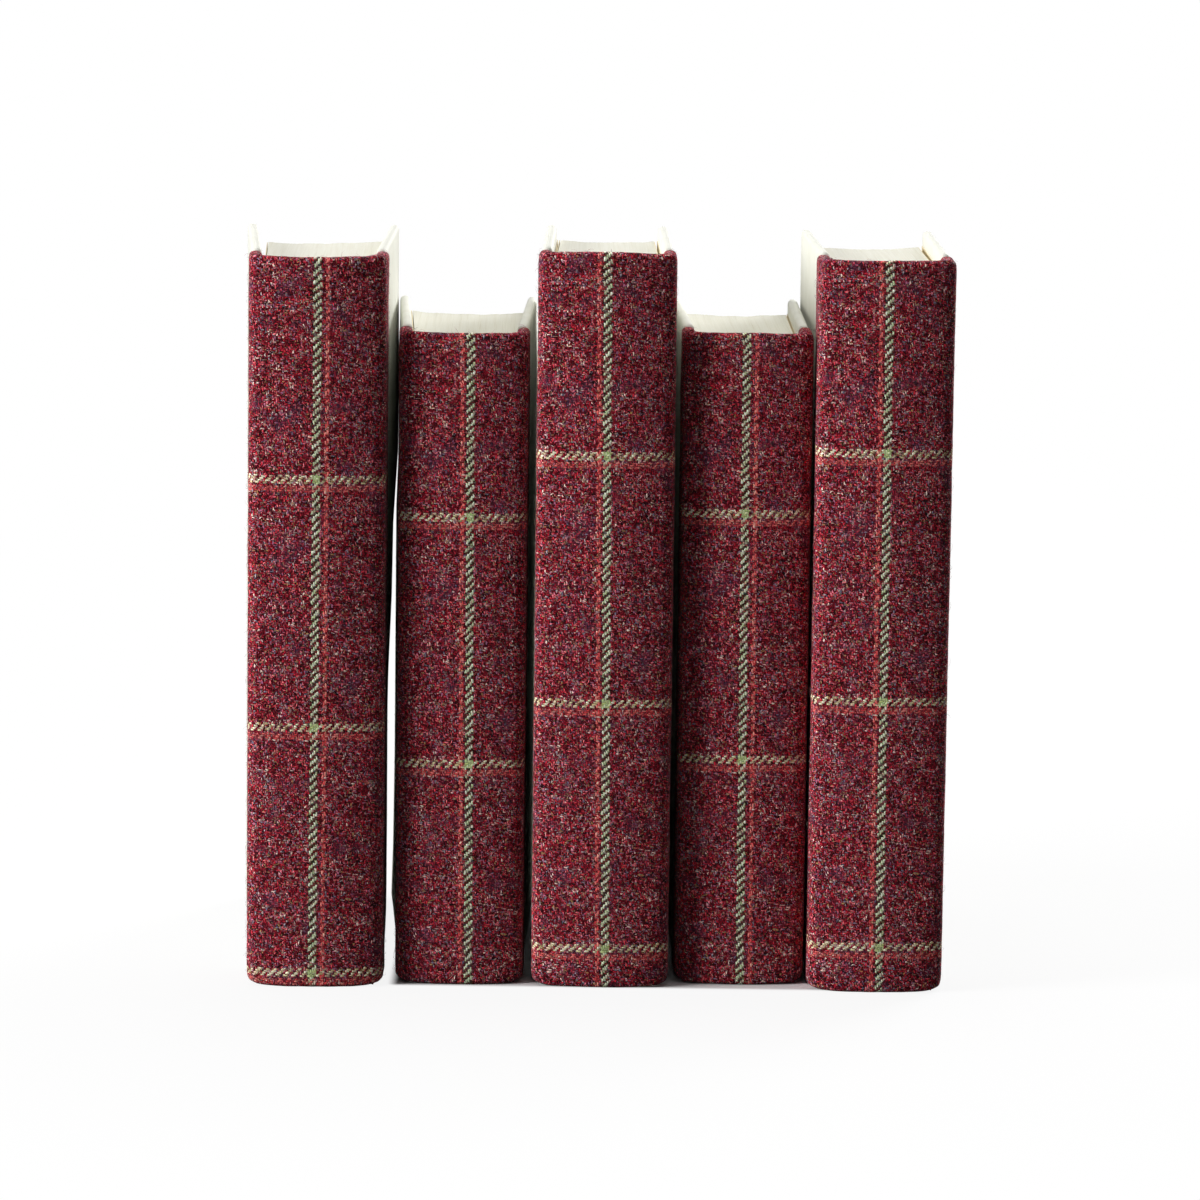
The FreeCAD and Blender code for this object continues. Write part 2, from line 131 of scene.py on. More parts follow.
# The part of the floor that shows its full shade, in metres: between books 2 and 5, behind
# their spines. It ends sharply in front, where the spines hide its edge, and softly behind.
SHADE_LEFT = -0.058
SHADE_RIGHT = 0.108
SHADE_FRONT = 0.068
SHADE_BACK = 0.06
SHADE_FADE = 0.15
FLOOR_REACH = 12.0

# The photograph's camera, with its focal length and frame width in pixels.
FOCAL_PIXELS = 5118.0
FRAME_PIXELS = 1200.0
CAMERA_PLACE = (0.005156, -1.680989, 0.347)
CAMERA_TILT = 90.0 - 7.83
CAMERA_TURN = 0.71


class Wire:
    """An output socket of a recipe's nodes. Arithmetic on it adds Math nodes."""

    def __init__(self, recipe, socket):
        self.recipe = recipe
        self.socket = socket

    def maths(self, operation, *operands):
        return self.recipe.node("Math", {"operation": operation}, dict(enumerate(operands)))

    def __add__(self, other):
        return self.maths("ADD", self, other)

    def __sub__(self, other):
        return self.maths("SUBTRACT", self, other)

    def __rsub__(self, other):
        return self.maths("SUBTRACT", other, self)

    def __mul__(self, other):
        return self.maths("MULTIPLY", self, other)

    def __mod__(self, other):
        return self.maths("FLOORED_MODULO", self, other)

    def __gt__(self, other):
        return self.maths("GREATER_THAN", self, other)

    def __lt__(self, other):
        return self.maths("LESS_THAN", self, other)

    def floor(self):
        return self.maths("FLOOR", self)

    def fraction(self):
        return self.maths("FRACT", self)

    def square(self):
        return self * self

    def root(self):
        return self.maths("SQRT", self)

    def absolute(self):
        return self.maths("ABSOLUTE", self)

    def larger(self, other):
        return self.maths("MAXIMUM", self, other)

    def positive(self):
        return self.larger(0.0)

    def within(self, low, high):
        """One between two limits, and zero outside them."""
        return (self > low) * (self < high)

    __radd__ = __add__
    __rmul__ = __mul__


class Recipe:
    """The nodes of a material or of the world."""

    def __init__(self, tree):
        self.nodes = tree.nodes
        self.links = tree.links

    def feed(self, socket, value):
        if isinstance(value, Wire):
            self.links.new(value.socket, socket)
        elif isinstance(value, tuple) and len(value) == 3 and len(socket.default_value) == 4:
            socket.default_value = (*value, 1.0)
        else:
            socket.default_value = value

    def node(self, kind, settings=None, inputs=None, output=0):
        """Adds one node: its type, its settings, then the values or links of its sockets."""
        made = self.nodes.new(f"ShaderNode{kind}")
        for name, value in (settings or {}).items():
            if name == "stops":
                self.set_stops(made.color_ramp, value)
            else:
                setattr(made, name, value)
        for place, value in (inputs or {}).items():
            self.feed(made.inputs[place], value)
        return Wire(self, made.outputs[output])

    def set_stops(self, ramp, stops):
        while len(ramp.elements) < len(stops):
            ramp.elements.new(1.0)
        for element, (position, colour) in zip(ramp.elements, stops):
            element.position = position
            element.color = (*colour, 1.0)

    def seen(self):
        """One for what the camera sees itself, in a reflection or through something clear."""
        rays = self.node("LightPath").socket.node.outputs
        camera, glossy, clear = [Wire(self, rays[f"Is {kind} Ray"])
                                 for kind in ("Camera", "Glossy", "Transmission")]
        return camera.larger(glossy).larger(clear)


class Finish(Recipe):
    """A material, and the parts that its colours and relief are made of."""

    def __init__(self, name):
        self.material = bpy.data.materials.new(name)
        self.material.use_nodes = True
        super().__init__(self.material.node_tree)
        self.shader = self.nodes["Principled BSDF"]

    def place(self, name):
        """Where a point lies on the piece, in metres, as its mesh records it."""
        return self.node("Attribute", {"attribute_name": name}, output="Vector")

    def parts(self, vector):
        split = self.node("SeparateXYZ", {}, {0: vector})
        return [Wire(self, socket) for socket in split.socket.node.outputs]

    def vector(self, x, y, z):
        return self.node("CombineXYZ", {}, {0: x, 1: y, 2: z})

    def shifted(self, vector, other):
        return self.node("VectorMath", {"operation": "ADD"}, {0: vector, 1: other})

    def scaled(self, vector, factors):
        return self.node("VectorMath", {"operation": "MULTIPLY"}, {0: vector, 1: factors})

    def noise(self, vector, scale, detail=2.0, roughness=0.5, output=0):
        inputs = {"Vector": vector, "Scale": scale, "Detail": detail, "Roughness": roughness}
        return self.node("TexNoise", {}, inputs, output)

    def drift(self, vector, scale, detail, roughness, reach):
        """A soft random shift across and up, of up to half a reach each way."""
        cloud = self.noise(vector, scale, detail, roughness, "Color")
        centred = self.shifted(cloud, (-0.5, -0.5, -0.5))
        return self.scaled(centred, (reach, reach, 0.0))

    def ramp(self, wire, stops):
        return self.node("ValToRGB", {"stops": stops}, {0: wire})

    def mix(self, factor, first, second, blend="MIX"):
        """Mixes two colours. A Mix node's colour sockets are its seventh and eighth."""
        settings = {"data_type": "RGBA", "blend_type": blend}
        return self.node("Mix", settings, {0: factor, 6: first, 7: second}, output=2)

    def blend(self, factor, first, second):
        """Mixes two numbers."""
        return self.node("Mix", {"data_type": "FLOAT"}, {0: factor, 2: first, 3: second})

    def bump(self, height, strength, distance):
        inputs = {"Height": height, "Strength": strength, "Distance": distance}
        self.feed(self.shader.inputs["Normal"], self.node("Bump", {}, inputs))

    def set(self, **values):
        """Sets the shader's own sockets: base_color stands for Base Color."""
        for name, value in values.items():
            socket = name.replace("_", " ").title().replace("Ior", "IOR")
            self.feed(self.shader.inputs[socket], value)
        return self.material


def tweed_finish():
    """A 2/2 twill of heathered burgundy yarns, with an open check of green, cream and coral, and
    shade painted into the gaps between the yarns.
    The weave attribute holds a point's place across and up the cloth, and on which side of
    the green line the coral one runs."""
    finish = Finish("burgundy_tweed")
    marks = finish.place("weave")
    coral_side = finish.parts(marks)[2]
    place = finish.scaled(marks, (1.0, 1.0, 0.0))
    wander = finish.drift(place, 230.0, 3.0, 0.65, 0.0016)
    frizz = finish.drift(place, 1500.0, 2.0, 0.6, 0.0008)
    moved = finish.shifted(finish.shifted(place, wander), frizz)
    x, y = finish.parts(finish.scaled(moved, (1 / PITCH, 1 / PITCH, 0.0)))[:2]
    warp = x.floor()
    weft = y.floor()
    across_check = (warp + CHECK / 2) % CHECK - CHECK / 2
    up_check = (weft + CHECK / 2) % CHECK - CHECK / 2
    in_green = across_check.within(-2.5, 1.5)
    in_coral = (across_check * coral_side).within(3.5, 5.5)
    in_cream = up_check.within(-2.5, 1.5)
    in_red = up_check.within(-6.5, -3.5)

    warp_shows = (warp - weft) % 4.0 < 1.5
    weft_shows = 1.0 - warp_shows
    warp_run = (y - warp + 1.0) % 4.0
    weft_run = (x - weft - 2.0) % 4.0
    height = finish.blend(warp_shows, yarn_height(y, weft_run), yarn_height(x, warp_run))

    along = finish.blend(warp_shows, x, y)
    across = finish.blend(warp_shows, y.fraction(), x.fraction())
    yarn = finish.blend(warp_shows, weft, warp + 500.0)
    fibre_place = finish.vector(along * 0.8 + across * 0.9, across * 1.9, yarn * 7.3)
    fibre = finish.node("TexVoronoi", {"voronoi_dimensions": "3D"},
                        {"Vector": fibre_place, "Scale": 1.0, "Randomness": 1.0}, output="Color")
    pick, shade = finish.parts(fibre)[:2]

    patch = finish.noise(place, 170.0, 4.0, 0.7)
    ground = finish.ramp(pick + (patch - 0.5) * 0.6, [
        (0.00, (0.008, 0.002, 0.003)),
        (0.15, (0.038, 0.003, 0.006)),
        (0.34, (0.140, 0.006, 0.014)),
        (0.54, (0.320, 0.010, 0.026)),
        (0.68, (0.640, 0.026, 0.048)),
        (0.76, (0.900, 0.220, 0.240)),
        (0.82, (0.320, 0.120, 0.260)),
        (0.89, (0.420, 0.230, 0.070)),
        (0.94, (0.090, 0.130, 0.240)),
        (1.00, (0.900, 0.640, 0.560)),
    ])
    cloud = finish.noise(finish.shifted(place, (0.7, 0.2, 0.0)), 95.0, 3.0, 0.6)
    ground = finish.mix((cloud - 0.52).positive() * 2.2, ground, (0.130, 0.055, 0.110))
    green = finish.ramp(pick * 0.55 + patch * 0.45, [
        (0.14, (0.120, 0.160, 0.070)),
        (0.30, (0.460, 0.520, 0.280)),
        (0.42, (0.820, 0.840, 0.640)),
        (0.56, (0.900, 0.900, 0.760)),
        (0.68, (0.460, 0.600, 0.310)),
        (0.80, (0.780, 0.830, 0.640)),
        (0.92, (0.340, 0.560, 0.520)),
    ])
    coral = finish.ramp(pick, [
        (0.00, (0.380, 0.020, 0.030)),
        (0.40, (0.800, 0.080, 0.085)),
        (0.80, (0.920, 0.270, 0.230)),
        (1.00, (0.920, 0.450, 0.350)),
    ])
    cream = finish.ramp(pick, [
        (0.00, (0.260, 0.150, 0.070)),
        (0.30, (0.560, 0.440, 0.210)),
        (0.60, (0.860, 0.770, 0.520)),
        (1.00, (0.940, 0.900, 0.730)),
    ])
    worn = finish.noise(place, 620.0, 2.0, 0.6)
    shown = finish.node("MapRange", {}, {"Value": worn, "From Min": 0.38, "From Max": 0.50,
                                         "To Min": 0.35, "To Max": 1.0})
    dark_green = finish.mix(0.6, ground, (0.020, 0.034, 0.016))
    colour = finish.mix(in_green * weft_shows, ground, dark_green)
    colour = finish.mix(in_green * warp_shows * shown, colour, green)
    colour = finish.mix(in_coral * (0.25 + 0.75 * warp_shows) * shown, colour, coral)
    colour = finish.mix(in_cream * weft_shows * shown, colour, cream)
    colour = finish.mix(in_red * (0.25 + 0.6 * weft_shows) * shown, colour, coral)
    colour = finish.mix(in_green * in_cream * 0.6, colour, (0.420, 0.580, 0.190))

    lines = in_green * warp_shows + in_coral * warp_shows + in_cream * weft_shows
    # Painted shade: the colour is multiplied darker where the yarns dip into the gaps between them.
    # The multiplier also varies at random with each fibre's tone and is lifted on the check yarns.
    depth = 0.50 + 1.40 * height + 0.9 * (shade - 0.5) + lines * 0.3
    colour = finish.mix(1.0, colour, finish.vector(depth, depth, depth), "MULTIPLY")
    fuzz = finish.noise(place, 2600.0, 2.0, 0.7)
    finish.bump(height + fuzz * 0.8, 0.8, 0.0003)
    return finish.set(base_color=colour, roughness=0.95, specular_ior_level=0.1,
                      sheen_weight=0.2, sheen_roughness=0.32, sheen_tint=(1.0, 0.78, 0.78))


def yarn_height(side, run):
    """Height of a yarn: round across its width, and crowned along the two yarns it floats over."""
    middle = side.fraction() * 2.0 - 1.0
    crown = run - 1.0
    return (1.0 - middle.square()) * (0.35 + 0.65 * (1.0 - crown.square()))


def wool_finish():
    """Stray fibres of the cloth, each with a tone of its own."""
    finish = Finish("wool_fibre")
    marks = finish.place("fibre")
    tone = finish.parts(marks)[0]
    colour = finish.ramp(tone + (finish.noise(marks, 3.0) - 0.5) * 0.2, [
        (0.00, (0.090, 0.020, 0.030)),
        (0.35, (0.330, 0.060, 0.085)),
        (0.60, (0.520, 0.250, 0.260)),
        (0.80, (0.620, 0.480, 0.420)),
        (1.00, (0.780, 0.740, 0.640)),
    ])
    return finish.set(base_color=colour, roughness=0.8, sheen_weight=0.3, sheen_roughness=0.5,
                      specular_ior_level=0.2)


def ivory_finish():
    """Ivory covering: a faint linen grain, softly mottled."""
    finish = Finish("ivory_covering")
    place = finish.place("grain")
    mottle = finish.noise(place, 55.0, 4.0, 0.6)
    threads = finish.noise(finish.scaled(place, (900.0, 5200.0, 900.0)), 1.0, 2.0)
    cross = finish.noise(finish.scaled(place, (900.0, 900.0, 5200.0)), 1.0, 2.0)
    grain = threads + cross
    colour = finish.ramp(mottle * 0.75 + grain * 0.12, [
        (0.25, (0.735, 0.730, 0.640)),
        (0.50, (0.800, 0.800, 0.720)),
        (0.75, (0.845, 0.845, 0.780)),
    ])
    finish.bump(grain, 0.25, 0.00008)
    return finish.set(base_color=colour, roughness=0.62 + 0.1 * mottle, specular_ior_level=0.35)


def page_finish():
    """Cut edges of the leaves: fine lines of the leaves' own tone, with a few darker lines of
    painted shade in the gaps between them.
    """
    finish = Finish("page_edges")
    place = finish.place("grain")
    leaves = finish.noise(finish.scaled(place, (5200.0, 18.0, 18.0)), 1.0, 3.0, 0.7)
    bundles = finish.noise(finish.scaled(place, (620.0, 9.0, 9.0)), 1.0, 2.0, 0.6)
    speck = finish.noise(place, 900.0, 2.0)
    lines = leaves * 0.6 + bundles * 0.4
    # The lowest values of the lines are painted shade in the gaps between leaves. The rest is the
    # leaves' own tone.
    colour = finish.ramp(lines + (speck - 0.5) * 0.12, [
        (0.28, (0.640, 0.590, 0.450)),
        (0.40, (0.760, 0.740, 0.630)),
        (0.56, (0.810, 0.795, 0.700)),
        (0.75, (0.830, 0.820, 0.740)),
    ])
    finish.bump(lines, 0.4, 0.0001)
    return finish.set(base_color=colour, roughness=0.85, specular_ior_level=0.2)


def paper_finish(name, dark, pale, fibre_scale):
    """Plain uncoated paper, gauze or card, with a fibrous grain."""
    finish = Finish(name)
    place = finish.node("TexCoord", {}, {}, output="Object")
    cloud = finish.noise(place, 70.0, 4.0, 0.6)
    fibres = finish.noise(finish.scaled(place, (1.0, 1.0, 0.35)), fibre_scale, 3.0, 0.7)
    colour = finish.ramp(cloud * 0.5 + fibres * 0.5, [(0.3, dark), (0.7, pale)])
    finish.bump(fibres, 0.3, 0.0001)
    return finish.set(base_color=colour, roughness=0.8 + 0.12 * fibres, specular_ior_level=0.25)


class Book:
    """One book's sizes, and where its layers lie."""

    def __init__(self, number, sizes):
        self.number = number
        self.name = f"book_{number}"
        for key, value in sizes.items():
            setattr(self, key, value)
        self.half = self.width / 2
        corner_x = self.half - SPINE_CORNER
        rise = math.sqrt((SPINE_RADIUS - SPINE_CORNER) ** 2 - corner_x ** 2)
        self.side_y = SPINE_RADIUS - rise
        self.groove_start = self.side_y + GROOVE_MARGIN
        self.hinge_y = self.groove_start + GROOVE_WIDTH / 2
        self.board_start = self.groove_start + GROOVE_WIDTH + GROOVE_MARGIN
        self.reach = {"left": self.depth - self.left_recess,
                      "right": self.depth - self.right_recess}
        opening = {"left": self.left_opening, "right": self.right_opening}
        self.slopes = {side: math.tan(math.radians(self.wedge + opening[side])) for side in opening}
        self.wedge_slope = math.tan(math.radians(self.wedge))
        mount = [m for m in frame["record"]["mounts"] if m["name"] == f"{self.name}_tail"][0]
        turn = Matrix.Rotation(math.radians(self.yaw), 4, "Z")
        spine_middle = (CLOTH + CARD + EDGE) / 2
        origin = Vector(mount["pos_m"]) - turn @ Vector((0.0, spine_middle * MM, 0.0))
        self.matrix = Matrix.Translation(origin) @ turn

    def bulge(self, side, y, z):
        """How far a warped cover stands outward: nothing at the cloth, most at the fore-edge."""
        heights, amounts = np.array(WARPS.get((self.number, side), [(0, 0.0)])).T
        beyond = np.clip((y - LAP) / (self.depth - LAP), 0, 1) ** 1.4
        return np.interp(z, heights, amounts) * beyond

    def cover_x(self, side, inward, y):
        """Distance from the middle plane to a cover's layer."""
        return self.half - inward + (y - self.hinge_y) * self.slopes[side]

    def page_x(self, inward, y):
        """Distance from the middle plane to a layer that lies along the pages."""
        return self.half - inward + (y - self.hinge_y) * self.wedge_slope

    def placed(self, points):
        """Many points of the book in the row's frame, in metres."""
        matrix = np.array(self.matrix)
        return points * MM @ matrix[:3, :3].T + matrix[:3, 3]

    def body(self, side):
        return OPENING_COVERS.get((self.number, side), "root")


def sign_of(side):
    return -1.0 if side == "left" else 1.0


def bowed(radius, inward, x):
    """How far back a layer of the spine lies, which is bowed round a point behind it."""
    return radius - np.sqrt((radius - inward) ** 2 - x ** 2)


def wave(points, size, seed):
    """A smooth random number from -1 to 1 at each point, with waves of a size in millimetres."""
    shift = Vector((seed * 7.31, seed * 3.17, seed * 5.71))
    return np.array([noise.noise(Vector(point) / size + shift) for point in points])


def new_piece(name, vertices, faces, finish, marks, sharp=40.0):
    """A smooth mesh object from points in the row's frame, with a vector mark on each point."""
    mesh = bpy.data.meshes.new(name)
    mesh.from_pydata([tuple(v) for v in vertices], [], faces)
    mesh.validate()
    mesh.shade_smooth()
    mesh.set_sharp_from_angle(angle=math.radians(sharp))
    for mark, values in marks.items():
        layer = mesh.attributes.new(mark, "FLOAT_VECTOR", "POINT")
        layer.data.foreach_set("vector", np.asarray(values, np.float32).ravel())
    mesh.materials.append(finish)
    piece = bpy.data.objects.new(name, mesh)
    bpy.context.scene.collection.objects.link(piece)
    return piece


def grid_normals(grid):
    """Unit normals of a grid of points, on the side that its rows and columns turn round."""
    along = np.gradient(grid, axis=1)
    up = np.gradient(grid, axis=0)
    normals = np.cross(along, up)
    return normals / np.maximum(np.linalg.norm(normals, axis=2, keepdims=True), 1e-9)


def thick_sheet(grid, thickness):
    """A closed sheet below a grid of points: its points and faces, outer skin first."""
    rows, columns = grid.shape[:2]
    inner = grid - grid_normals(grid) * thickness[..., None]
    vertices = np.concatenate([grid.reshape(-1, 3), inner.reshape(-1, 3)])
    below = rows * columns
    faces = []
    for row in range(rows - 1):
        for column in range(columns - 1):
            a = row * columns + column
            b = a + 1
            c = b + columns
            d = a + columns
            faces.append((a, b, c, d))
            faces.append((below + a, below + d, below + c, below + b))
    for column in range(columns - 1):
        a = column
        b = a + 1
        faces.append((b, a, below + a, below + b))
        a = (rows - 1) * columns + column
        b = a + 1
        faces.append((a, b, below + b, below + a))
    for row in range(rows - 1):
        a = row * columns
        b = a + columns
        faces.append((a, b, below + b, below + a))
        a = row * columns + columns - 1
        b = a + columns
        faces.append((b, a, below + a, below + b))
    return vertices, faces


def side_line(book, side, start):
    """The cloth's outer face on one side, from the corner of the spine to the cloth's edge."""
    y = np.arange(start, LAP + 0.1, 0.25)
    groove = np.clip(1 - ((y - book.hinge_y) / (GROOVE_WIDTH * 0.58)) ** 2, 0, 1) ** 1.5
    splay = np.maximum(y - book.hinge_y, 0) * book.slopes[side]
    x = book.half - groove * GROOVE_DEPTH + splay
    return np.stack([x * sign_of(side), y], axis=1)


def plan_line(book):
    """The cloth's outer face seen from above, from its left edge round the spine to its right."""
    corner_x = book.half - SOFT_CORNER
    turn = math.asin(corner_x / (CLOTH_BOW - SOFT_CORNER))
    angles = np.linspace(-turn, turn, 60)
    spine = np.stack([np.sin(angles), 1 - np.cos(angles)], axis=1) * CLOTH_BOW
    centre_y = CLOTH_BOW - (CLOTH_BOW - SOFT_CORNER) * math.cos(turn)
    angles = np.linspace(turn, math.pi / 2, 24)[1:]
    right = np.stack([corner_x + SOFT_CORNER * np.sin(angles),
                      centre_y - SOFT_CORNER * np.cos(angles)], axis=1)
    left = right[::-1] * np.array([-1.0, 1.0])
    start = centre_y + 0.1
    return np.concatenate([side_line(book, "left", start)[::-1], left, spine, right,
                           side_line(book, "right", start)])


def spaced(points, step):
    """Evenly spaced points along a line, with their distances along it."""
    lengths = np.concatenate([[0.0], np.cumsum(np.linalg.norm(np.diff(points, axis=0), axis=1))])
    distances = np.linspace(0.0, lengths[-1], int(round(lengths[-1] / step)) + 1)
    placed = [np.interp(distances, lengths, points[:, axis]) for axis in (0, 1)]
    return np.stack(placed, axis=1), distances


def round_end(steps):
    """Half turns over an edge, flatter on top than a circle: depths and rises from 0 to 1."""
    angles = np.linspace(0, math.pi, steps)
    flat = 2 / 2.5
    across = (1 - np.sign(np.cos(angles)) * np.abs(np.cos(angles)) ** flat) / 2
    rise = np.abs(np.sin(angles)) ** flat
    return across, rise


def cloth_grid(book):
    """The wrapped cloth as a grid: columns go round the spine, and rows go from the turned-in
    edge at the tail, down and round the tail, up the outside and over the head."""
    plan, distances = spaced(plan_line(book), 1.0)
    middle = np.interp(0.0, plan[:, 0], distances)
    around = distances - middle
    heading = np.gradient(plan, axis=0)
    heading /= np.linalg.norm(heading, axis=1, keepdims=True)
    outward = np.stack([heading[:, 1], -heading[:, 0]], axis=1)
    side_depth = np.where(np.abs(plan[:, 0]) > book.half - SOFT_CORNER * 1.2, plan[:, 1], 0.0)
    wrap = np.interp(side_depth,
                     [book.side_y, book.hinge_y - 1.5, book.hinge_y + 1.5, book.board_start],
                     [CLOTH + CARD + EDGE, 2.5, 2.5, CLOTH + BOARD + EDGE])
    bow = 1 - (plan[:, 0] / book.half) ** 2
    spine_only = side_depth < book.side_y
    joint = np.exp(-((side_depth - book.hinge_y) / 2.6) ** 2)
    ragged = wave(np.stack([around, around * 0, around * 0], axis=1), 3.1, book.number) * 0.16
    slack = wave(np.stack([around, around * 0, around * 0], axis=1), 17.0, book.number + 9) * 0.3
    edge_share = np.clip(np.abs(plan[:, 0]) / book.half, 0, 1)
    before_joint = np.clip(1 - (side_depth - book.side_y) / 5.0, 0, 1)
    ear = np.clip(edge_share * 3.4 - 2.2, 0, 1) ** 1.5 * before_joint
    top = book.height - 0.6 + bow * spine_only * book.head_arch - joint * 0.9 + ragged + slack
    top = np.minimum(top + ear * EAR, book.height + 0.9)
    half_wrap = wrap / 2
    bottom = joint * 0.5 + np.abs(ragged) * 0.3 + edge_share ** 4 * before_joint * TAIL_LIFT
    corner = np.clip((edge_share - 0.62) / 0.38, 0, 1) ** 1.5 * before_joint
    depth, rise = round_end(FOLD_ROWS)
    last = FOLD_ROWS - 1
    rows = []
    paths = []

    def add_row(inward, height, path):
        spot = plan - outward * inward[:, None]
        near_tail = 1 - np.sqrt(1 - np.clip(1 - height / TAIL_ROUND, 0, 1) ** 2)
        near_head = 1 - np.sqrt(1 - np.clip(1 - (top - height) / HEAD_ROUND, 0, 1) ** 2)
        tuck = corner * (TAIL_TUCK * near_tail + HEAD_TUCK * near_head)
        spot[:, 0] -= np.sign(plan[:, 0]) * tuck
        rows.append(np.column_stack([spot, height]))
        paths.append(path)

    inside = np.linspace(0, 1, STRIP_ROWS + 1)[:-1]
    for share in inside:
        height = TURN_IN + (bottom + half_wrap - TURN_IN) * share
        add_row(wrap, height, -height - half_wrap)
    for step in range(last, -1, -1):
        height = bottom + half_wrap * (1 - rise[step])
        add_row(wrap * depth[step], height, half_wrap - half_wrap * (step / last) * FOLD_RUN)
    heights = np.linspace(0, 1, int(book.height / 1.5))[1:-1]
    low = bottom + half_wrap
    high = top - half_wrap
    for share in heights:
        height = low + (high - low) * share
        add_row(wrap * 0, height, height)
    for step in range(FOLD_ROWS):
        height = high + half_wrap * rise[step]
        add_row(wrap * depth[step], height, high + half_wrap * (step / last) * FOLD_RUN)
    for share in inside[::-1]:
        height = (book.height - TURN_IN) + (high - book.height + TURN_IN) * share
        add_row(wrap, height, 2 * high - height + half_wrap * FOLD_RUN)
    grid = np.array(rows)
    path = np.array(paths)
    return grid, path, around, wrap


def make_cloth(book, finish):
    grid, path, around, wrap = cloth_grid(book)
    rows, columns = grid.shape[:2]
    normals = grid_normals(grid)
    flat = grid.reshape(-1, 3)
    swell = wave(flat, 16.0, book.number + 20) * 0.13 + wave(flat, 3.4, book.number + 40) * 0.07
    swell = swell.reshape(rows, columns)
    swell[:, 0] -= 0.35
    swell[:, 1] -= 0.1
    swell[:, -1] -= 0.35
    swell[:, -2] -= 0.1
    grid = grid + normals * swell[..., None]
    grid[..., 2] = np.maximum(grid[..., 2], 0.0)
    outside = np.abs(grid_normals(grid)[..., 2]) < 0.5
    inside = np.zeros((rows, columns), bool)
    inside[:STRIP_ROWS + 1] = True
    inside[-STRIP_ROWS - 1:] = True
    thickness = np.where(inside, EDGE, np.where(outside, CLOTH * 0.8, CLOTH * 0.6))
    thickness = np.minimum(thickness, wrap[None, :] * 0.38)
    vertices, faces = thick_sheet(grid, thickness)
    lean = np.clip(path / book.height, 0, 1)
    green = book.green_tail + (book.green_head - book.green_tail) * lean
    across = around[None, :] - green
    up = path - book.cream_height
    side = np.full(across.shape, book.coral_side / MM)
    weave = np.stack([across, up, side], axis=2).reshape(-1, 3) * MM
    name = f"{book.name}_cloth"
    marks = {"weave": np.concatenate([weave, weave])}
    piece = new_piece(name, book.placed(vertices), faces, finish, marks, 60.0)
    nodes = [f"{book.name}_tweed"]
    if any(number == book.number for number, side in OPENING_COVERS):
        nodes.append(f"{book.name}_tweed_flap")
    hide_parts(*nodes)
    carry_cloth(book, piece)
    return grid, grid_normals(grid)


def carry_cloth(book, piece):
    """Puts the cloth on the root body. The cloth of a book whose cover opens goes on no body, with
    its placing baked into its points."""
    for (number, side), body in OPENING_COVERS.items():
        if number == book.number:
            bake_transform(piece)
            return
    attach(piece, "root")


def make_wool(book, grid, normals, finish):
    """Stray fibres that stand off the cloth: thin curls, thickest at their roots."""
    rows, columns = grid.shape[:2]
    stops = 6
    vertices = []
    marks = []
    faces = []
    for index in range(WOOL_FIBRES):
        row = random.randrange(STRIP_ROWS + 8, rows - STRIP_ROWS - 2)
        column = random.randrange(1, columns - 1)
        root = Vector(grid[row, column])
        out = Vector(normals[row, column])
        heading = random.uniform(0, 2 * math.pi)
        side = out.cross(Vector((0.31, 0.17, 0.94))).normalized()
        up = side.cross(out).normalized()
        along = side * math.cos(heading) + up * math.sin(heading)
        beside = side * -math.sin(heading) + up * math.cos(heading)
        length = random.uniform(1.0, 3.4)
        lift = random.uniform(0.15, 0.8)
        curl = random.uniform(-1.2, 1.2)
        tone = random.random() ** 1.3
        size = random.uniform(0.028, 0.05)
        base = len(vertices)
        for step in range(stops):
            share = step / (stops - 1)
            bend = curl * share * share
            spot = root + along * length * share * math.cos(bend * 0.6)
            spot = spot + beside * length * 0.5 * bend
            spot = spot + out * (lift * math.sin(math.pi * share * 0.8) - 0.05)
            for corner in range(3):
                angle = corner * 2 * math.pi / 3
                thin = size * (1 - 0.6 * share)
                above = spot + out * math.cos(angle) * thin
                vertices.append(above + beside * math.sin(angle) * thin)
                marks.append((tone, random.random(), share))
        for step in range(stops - 1):
            for corner in range(3):
                a = base + step * 3 + corner
                b = base + step * 3 + (corner + 1) % 3
                faces.append((a, b, b + 3, a + 3))
        faces.append((base + 2, base + 1, base))
        last = base + (stops - 1) * 3
        faces.append((last, last + 1, last + 2))
    points = np.array([tuple(v) for v in vertices])
    points[:, 2] = np.maximum(points[:, 2], 0.03 + points[:, 2] % 0.03)
    placed = book.placed(points)
    piece = new_piece(f"{book.name}_wool", placed, faces, finish, {"fibre": marks})
    carry_cloth(book, piece)


def lattice(steps):
    """The faces of a block as a closed mesh: its points as indices, and its quads."""
    counts = [len(axis) - 1 for axis in steps]
    found = {}
    points = []
    faces = []

    def number(place):
        if place not in found:
            found[place] = len(points)
            points.append(place)
        return found[place]

    for axis in range(3):
        first = (axis + 1) % 3
        second = (axis + 2) % 3
        for end in (0, counts[axis]):
            for i in range(counts[first]):
                for j in range(counts[second]):
                    quad = []
                    for step_i, step_j in ((0, 0), (1, 0), (1, 1), (0, 1)):
                        place = [0, 0, 0]
                        place[axis] = end
                        place[first] = i + step_i
                        place[second] = j + step_j
                        quad.append(number(tuple(place)))
                    faces.append(tuple(quad if end else quad[::-1]))
    return np.array(points), faces


def spread(start, end, edge, step):
    """Places along one side of a block: close together over its rounded edges."""
    rounding = np.array([0.0, 0.12, 0.3, 0.6, 1.0]) * edge
    count = max(2, int(round((end - start - 2 * edge) / step)))
    middle = np.linspace(start + edge, end - edge, count + 1)[1:-1]
    return np.concatenate([start + rounding, middle, end - rounding[::-1]])


